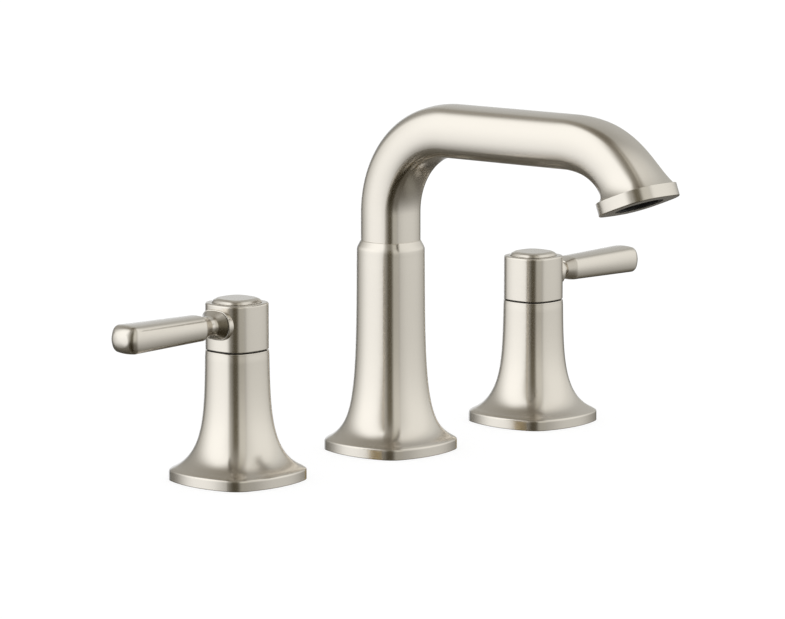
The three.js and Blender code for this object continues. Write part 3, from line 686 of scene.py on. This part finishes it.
def leant(station, length):
    """Near the outlet the sections lean over from square on the path to the outlet's tilt."""
    forward, up, heading, distance = station
    ease = max(1 - (length - distance) / NOSE_EASE, 0)
    return (forward, up, heading + (OUTLET_TILT - NOSE_TILT) * ease ** 2, distance)


BARE_PATH = spout_path()
TUBE_LENGTH = BARE_PATH[-1][3]
PATH = [leant(station, TUBE_LENGTH) for station in BARE_PATH]
BAND_START = PATH[-1]
OUTLET = onward(BAND_START, OUTLET_BAND)


def tube_section(distance):
    left = TUBE_LENGTH - distance
    slim = min(max(2 - left / NOSE_TAPER, 0), 1)
    plain = TUBE_CORNER + (NOSE_CORNER - TUBE_CORNER) * slim
    corner = plain + (OUTLET_FLARE - plain) * math.exp(-left / OUTLET_SWEEP)
    return bowed_square(corner, corner * TUBE_FLAT_SHARE, corner * TUBE_ROUND_SHARE)


def spout_tube():
    rings = [across(station, tube_section(station[3])) for station in PATH]
    band = filleted([
        (OUTLET_FLARE, 0, 0),
        (OUTLET_CORNER, 0, OUTLET_EDGE / 2),
        (OUTLET_CORNER, OUTLET_BAND, OUTLET_EDGE),
        ((OUTLET_CORNER + POCKET) / 2, OUTLET_BAND, 0),
    ])
    for corner, amount in band[1:]:
        outline = bowed_square(corner, corner * OUTLET_FLAT_SHARE, corner * OUTLET_ROUND_SHARE)
        rings.append(across(onward(BAND_START, amount), outline))
    rings.append(across(OUTLET, circle(POCKET)))
    rings.append(across(onward(OUTLET, -POCKET_DEPTH), circle(POCKET)))
    inner = [station for station in PATH if station[3] < OUTLET[3] - POCKET_DEPTH]
    rings.extend(across(station, circle(WATERWAY)) for station in reversed(inner))
    foot = (0, SPIGOT_LOW, QUARTER, 0)
    rings.append(across(foot, circle(WATERWAY)))
    rings.append(across(foot, circle(SPIGOT)))
    rings.append(across(PATH[0], circle(SPIGOT)))
    return skin("spout_tube_skin", rings, closed=True)


def aerator_housing():
    chain = filleted([
        (HOUSING_RADIUS, HOUSING_DEPTH, 0),
        (HOUSING_RADIUS, HOUSING_FACE, HOUSING_EDGE),
        (HOUSING_BORE, HOUSING_FACE, HOUSING_EDGE),
        (HOUSING_BORE, HOUSING_DEPTH, 0),
    ])
    rings = [across(onward(OUTLET, -depth), circle(radius)) for radius, depth in chain]
    return skin("aerator_housing_skin", rings, closed=True)


# Materials

GRAIN_DETAIL = 4.0
GRAIN_ROUGHNESS = 0.6
GRAIN_RANGE = (0.3, 0.7)
BRUSH_STRETCH = (30, 30, 2200)
BRUSH_DEPTH = 0.000004
NICKEL_STRETCH = (50, 50, 2600)
NICKEL_DEPTH = 0.0000003
DULL_STRETCH = (900, 900, 900)
DULL_DEPTH = 0.00002
DULL_STRENGTH = 0.4


def new_material(name):
    material = bpy.data.materials.new(name)
    material.use_nodes = True
    tree = material.node_tree
    return material, tree, tree.nodes["Principled BSDF"]


def node(tree, kind, **inputs):
    made = tree.nodes.new(kind)
    for key, value in inputs.items():
        made.inputs[key.replace("_", " ")].default_value = value
    return made


def streaks(tree, stretch):
    """Noise in the piece's own space, drawn out along each axis with a small stretch."""
    place_node = tree.nodes.new("ShaderNodeTexCoord")
    mapping = tree.nodes.new("ShaderNodeMapping")
    mapping.inputs["Scale"].default_value = stretch
    noise = node(
        tree, "ShaderNodeTexNoise", Scale=1.0, Detail=GRAIN_DETAIL, Roughness=GRAIN_ROUGHNESS
    )
    tree.links.new(place_node.outputs["Object"], mapping.inputs["Vector"])
    tree.links.new(mapping.outputs["Vector"], noise.inputs["Vector"])
    return noise.outputs["Fac"]


def ramp(tree, value, low, high):
    start, end = GRAIN_RANGE
    made = node(
        tree, "ShaderNodeMapRange", From_Min=start, From_Max=end, To_Min=low, To_Max=high
    )
    tree.links.new(value, made.inputs["Value"])
    return made.outputs["Result"]


def add_grain(tree, shader, stretch, roughness, strength, depth):
    """Fine noise in roughness and height."""
    grain = streaks(tree, stretch)
    tree.links.new(ramp(tree, grain, *roughness), shader.inputs["Roughness"])
    bump = node(tree, "ShaderNodeBump", Strength=strength, Distance=depth)
    tree.links.new(grain, bump.inputs["Height"])
    tree.links.new(bump.outputs["Normal"], shader.inputs["Normal"])


def brushed(name, color, roughness, stretch=BRUSH_STRETCH, depth=BRUSH_DEPTH):
    material, tree, shader = new_material(name)
    shader.inputs["Metallic"].default_value = 1
    shader.inputs["Base Color"].default_value = (*color, 1)
    add_grain(tree, shader, stretch, roughness, 1.0, depth)
    return material


def dull(name, color, roughness):
    material, tree, shader = new_material(name)
    shader.inputs["Base Color"].default_value = (*color, 1)
    add_grain(tree, shader, DULL_STRETCH, roughness, DULL_STRENGTH, DULL_DEPTH)
    return material


NICKEL = brushed(
    "brushed_nickel", (0.80, 0.755, 0.69), (0.225, 0.24), NICKEL_STRETCH, NICKEL_DEPTH
)
FINISHES = {
    "brass": brushed("machined_brass", (0.76, 0.60, 0.33), (0.25, 0.35)),
    "steel": brushed("stainless_steel", (0.66, 0.66, 0.66), (0.25, 0.35)),
    "rubber": dull("black_rubber", (0.025, 0.025, 0.026), (0.7, 0.85)),
    "nylon": dull("white_nylon", (0.78, 0.77, 0.72), (0.45, 0.6)),
    "ceramic": dull("lapped_ceramic", (0.88, 0.86, 0.82), (0.12, 0.2)),
    "black_plastic": dull("black_acetal", (0.012, 0.012, 0.013), (0.35, 0.5)),
    "nickel": NICKEL,
}


def dress_nodes():
    """Give every node that stays its finish from its material slot."""
    for row in frame["record"]["subparts"]:
        carried = frame["nodes"][row["node"]]
        carried.data.materials.clear()
        carried.data.materials.append(FINISHES[row["material_slot"]])


# Studio: a plain white world, which the metal sees through far screens. Reflections find there the
# surroundings' own colour, which changes with elevation, then what flags take and windows add,
# each from one azimuth to another. Azimuth 0 lies in front of the spout, 90 past the cold handle.
# Degrees and linear colours: most come from two fits to the photograph, some were set one by one,
# and all are rounded.

WHITE = (1, 1, 1)
SCREEN_REACH = 40
GROUND = (0.1, 0.09, 0.07)
LEVELS = (
    {"above": -46, "soft": 12, "color": (0.15, 0.14, 0.12)},
    {"above": -8, "soft": 16, "color": (0.42, 0.41, 0.38)},
    {"above": 52, "soft": 23, "color": (0.27, 0.25, 0.21)},
    {"above": 72, "soft": 13, "color": (0.17, 0.15, 0.12)},
)


def flag(start, end, soft, high, fade, color):
    """A dark flag between two azimuths: soft sides, its height with a fade, the share it takes."""
    row = {"azimuth": (start + end) / 2, "half": (end - start) / 2, "soft": soft}
    return {**row, "high": high, "fade": fade, "color": color}


def window(start, end, soft, low, high, fade, color):
    """A window between two azimuths: soft sides, from low to high with a fade, what it adds."""
    return {**flag(start, end, soft, high, fade, color), "low": low}


FLAGS = (
    # On the camera's side, for the dark band on the near arrises
    flag(-73, -36, 9, 48, 30, (0.68, 0.71, 0.78)),
    # Low down past the hot handle
    flag(-95, -62, 3, -13, 4, (0.64, 0.68, 0.77)),
    # Behind the spout
    flag(155, 187, 21, 24, 18, (0.52, 0.5, 0.48)),
    # Low down past the cold handle
    flag(100, 124, 8, 0, 6, (0.5, 0.5, 0.5)),
)
WINDOWS = (
    # The large ones, behind on the hot side and in front on the cold side
    window(-152, -100, 17, -22, 56, 9, (0.83, 0.85, 0.87)),
    window(14, 74, 21, -19, 73, 20, (0.52, 0.53, 0.53)),
    # A bright strip below the horizon, behind on the cold side, and a smaller one above it
    window(123, 167, 7, -11, 0, 9, (1.37, 1.43, 1.56)),
    window(143, 157, 18, 2, 16, 10, (0.85, 0.92, 1.05)),
    # Faint ones past the cold handle, in front of the spout and from below
    window(73, 154, 2, -2, 66, 2, (0.1, 0.11, 0.12)),
    window(-36, 5, 8, -12, 85, 5, (0.25, 0.25, 0.23)),
    window(41, 70, 4, -64, -31, 12, (0.12, 0.12, 0.11)),
)


def computed(tree, kind, operation, *values):
    made = tree.nodes.new(kind)
    made.operation = operation
    for socket, value in zip(made.inputs, values):
        if isinstance(value, bpy.types.NodeSocket):
            tree.links.new(value, socket)
        else:
            socket.default_value = value
    return made.outputs[0]


def numbers(tree, operation, *values):
    return computed(tree, "ShaderNodeMath", operation, *values)


def colors(tree, operation, *values):
    return computed(tree, "ShaderNodeVectorMath", operation, *values)


def smooth(tree, value, start, end):
    """Eases from 0 at start to 1 at end."""
    made = node(tree, "ShaderNodeMapRange", From_Min=start, From_Max=end)
    made.interpolation_type = "SMOOTHSTEP"
    tree.links.new(value, made.inputs["Value"])
    return made.outputs["Result"]


def plateau(tree, value, low, high, soft):
    """1 between low and high, falling softly to 0 on both sides."""
    rise = smooth(tree, value, low - soft, low + soft)
    fall = smooth(tree, value, high + soft, high - soft)
    return numbers(tree, "MULTIPLY", rise, fall)


def direction_angles(tree):
    """Azimuth and elevation of a point on the screens from the origin, in degrees."""
    place_node = tree.nodes.new("ShaderNodeTexCoord")
    toward = colors(tree, "NORMALIZE", place_node.outputs["Object"])
    parts = tree.nodes.new("ShaderNodeSeparateXYZ")
    tree.links.new(toward, parts.inputs[0])
    ahead = numbers(tree, "MULTIPLY", parts.outputs["Y"], -1)
    azimuth = numbers(tree, "ARCTAN2", parts.outputs["X"], ahead)
    elevation = numbers(tree, "ARCSINE", parts.outputs["Z"])
    return numbers(tree, "DEGREES", azimuth), numbers(tree, "DEGREES", elevation)


def beside(tree, azimuth, row):
    """1 within a flag's or window's half width, falling softly to 0 outside."""
    turned = numbers(tree, "WRAP", numbers(tree, "SUBTRACT", azimuth, row["azimuth"]), 180, -180)
    away = numbers(tree, "ABSOLUTE", turned)
    return smooth(tree, away, row["half"] + row["soft"], row["half"] - row["soft"])


def square_corners(reach):
    return [(-reach, -reach), (reach, -reach), (reach, reach), (-reach, reach)]


def build_world():
    world = bpy.data.worlds.new("white_surroundings")
    bpy.context.scene.world = world
    world.use_nodes = True
    background = world.node_tree.nodes["Background"]
    background.inputs["Color"].default_value = (*WHITE, 1)
    background.inputs["Strength"].default_value = 1


def screen_light(tree):
    """Colour that the screens let through or give, by direction."""
    azimuth, elevation = direction_angles(tree)
    around = GROUND
    below = Vector(GROUND)
    for row in LEVELS:
        step = smooth(tree, elevation, row["above"] - row["soft"], row["above"] + row["soft"])
        gain = Vector(row["color"]) - below
        around = colors(tree, "ADD", around, colors(tree, "MULTIPLY", gain, step))
        below = Vector(row["color"])
    for row in FLAGS:
        standing = smooth(tree, elevation, row["high"] + row["fade"], row["high"] - row["fade"])
        shade = numbers(tree, "MULTIPLY", beside(tree, azimuth, row), standing)
        kept = colors(tree, "SUBTRACT", WHITE, colors(tree, "MULTIPLY", row["color"], shade))
        around = colors(tree, "MULTIPLY", around, kept)
    for row in WINDOWS:
        upright = plateau(tree, elevation, row["low"], row["high"], row["fade"])
        light = numbers(tree, "MULTIPLY", beside(tree, azimuth, row), upright)
        around = colors(tree, "ADD", around, colors(tree, "MULTIPLY", row["color"], light))
    return around


def build_screens():
    """A far box round everything, which only reflections see."""
    walls = square_corners(SCREEN_REACH)
    corners = [(x, y, z) for z in (-SCREEN_REACH, SCREEN_REACH) for x, y in walls]
    sides = [(i, (i + 1) % 4, 4 + (i + 1) % 4, 4 + i) for i in range(4)]
    mesh = bpy.data.meshes.new("screens")
    mesh.from_pydata(corners, [], sides + [(3, 2, 1, 0), (4, 5, 6, 7)])
    screens = bpy.data.objects.new("screens", mesh)
    bpy.context.scene.collection.objects.link(screens)
    material = bpy.data.materials.new("screens")
    material.use_nodes = True
    material.cycles.emission_sampling = "NONE"
    tree = material.node_tree
    tree.nodes.clear()
    light = screen_light(tree)
    through = colors(tree, "MINIMUM", light, WHITE)
    clear = tree.nodes.new("ShaderNodeBsdfTransparent")
    tree.links.new(through, clear.inputs["Color"])
    glow = tree.nodes.new("ShaderNodeEmission")
    tree.links.new(colors(tree, "SUBTRACT", light, through), glow.inputs["Color"])
    both = tree.nodes.new("ShaderNodeAddShader")
    tree.links.new(clear.outputs[0], both.inputs[0])
    tree.links.new(glow.outputs[0], both.inputs[1])
    output = tree.nodes.new("ShaderNodeOutputMaterial")
    tree.links.new(both.outputs[0], output.inputs["Surface"])
    mesh.materials.append(material)
    screens.visible_camera = False
    screens.visible_diffuse = False
    screens.visible_transmission = False
    screens.visible_volume_scatter = False
    screens.visible_shadow = False


FLOOR_COLOR = (0.25, 0.25, 0.25, 1)
FLOOR_GLOW = 0.79
FLOOR_ROUGHNESS = 0.9
FLOOR_REACH = 6


def build_floor():
    mesh = bpy.data.meshes.new("deck_floor")
    corners = [(x, y, 0) for x, y in square_corners(FLOOR_REACH)]
    mesh.from_pydata(corners, [], [(0, 1, 2, 3)])
    floor = bpy.data.objects.new("deck_floor", mesh)
    bpy.context.scene.collection.objects.link(floor)
    material, tree, shader = new_material("pale_floor")
    shader.inputs["Base Color"].default_value = FLOOR_COLOR
    shader.inputs["Roughness"].default_value = FLOOR_ROUGHNESS
    shader.inputs["Specular IOR Level"].default_value = 0
    shader.inputs["Emission Color"].default_value = (*WHITE, 1)
    rays = tree.nodes.new("ShaderNodeLightPath").outputs
    seen = numbers(tree, "MAXIMUM", rays["Is Camera Ray"], rays["Is Glossy Ray"])
    seen = numbers(tree, "MAXIMUM", seen, rays["Is Transmission Ray"])
    glow = numbers(tree, "MULTIPLY", seen, FLOOR_GLOW)
    tree.links.new(glow, shader.inputs["Emission Strength"])
    floor.data.materials.append(material)
    # The metal sees the screens' dark ground instead, as in the photograph
    floor.visible_glossy = False


# Camera

VIEW_AZIMUTH = -46.9
VIEW_ELEVATION = 8.948
VIEW_DISTANCE = 1.9761
VIEW_TARGET = Vector((0.00136, 0, 0.0661))
VIEW_FOCAL_PIXELS = 4205
PHOTO_WIDTH = 785
SENSOR = 36
NEAREST = 0.01
FARTHEST = 50


def direction(azimuth, elevation):
    """The way from the origin to an azimuth and elevation in degrees."""
    side, rise = math.radians(azimuth), math.radians(elevation)
    level_part = math.cos(rise)
    return Vector((math.sin(side) * level_part, -math.cos(side) * level_part, math.sin(rise)))


def build_camera():
    camera = bpy.data.objects.new("camera", bpy.data.cameras.new("camera"))
    bpy.context.scene.collection.objects.link(camera)
    camera.data.sensor_width = SENSOR
    camera.data.lens = SENSOR * VIEW_FOCAL_PIXELS / PHOTO_WIDTH
    back = direction(VIEW_AZIMUTH, VIEW_ELEVATION)
    camera.location = VIEW_TARGET + back * VIEW_DISTANCE
    camera.rotation_mode = "QUATERNION"
    camera.rotation_quaternion = (-back).to_track_quat("-Z", "Y")
    camera.data.clip_start = NEAREST
    camera.data.clip_end = FARTHEST
    bpy.context.scene.camera = camera


build_camera()
build_world()
build_screens()
build_floor()
bpy.context.scene.view_settings.view_transform = "Standard"
dress_nodes()
for side in HANDLE_SIDE:
    turning = f"{side}_handle"
    finish_piece(bell(side), NICKEL, "root", NICKEL_SLOT, f"{side}_bell")
    finish_piece(hub(side), NICKEL, turning, NICKEL_SLOT, f"{side}_hub")
    # The thin dark ring in the gap under each hub is painted shadow
    finish_piece(painted_shade_ring(side), FINISHES[DARK_SLOT], turning, DARK_SLOT)
    finish_piece(button(side), NICKEL, turning, NICKEL_SLOT, f"{side}_button_cap")
    finish_piece(lever(side), NICKEL, turning, NICKEL_SLOT, f"{side}_lever")
    finish_piece(collar(side), NICKEL, turning, NICKEL_SLOT, f"{side}_lever_collar")
finish_piece(column(), NICKEL, "root", NICKEL_SLOT, "spout_column")
finish_piece(spout_tube(), NICKEL, "root", NICKEL_SLOT, "spout_tube")
finish_piece(aerator_housing(), FINISHES[DARK_SLOT], "root", DARK_SLOT, "aerator_housing")
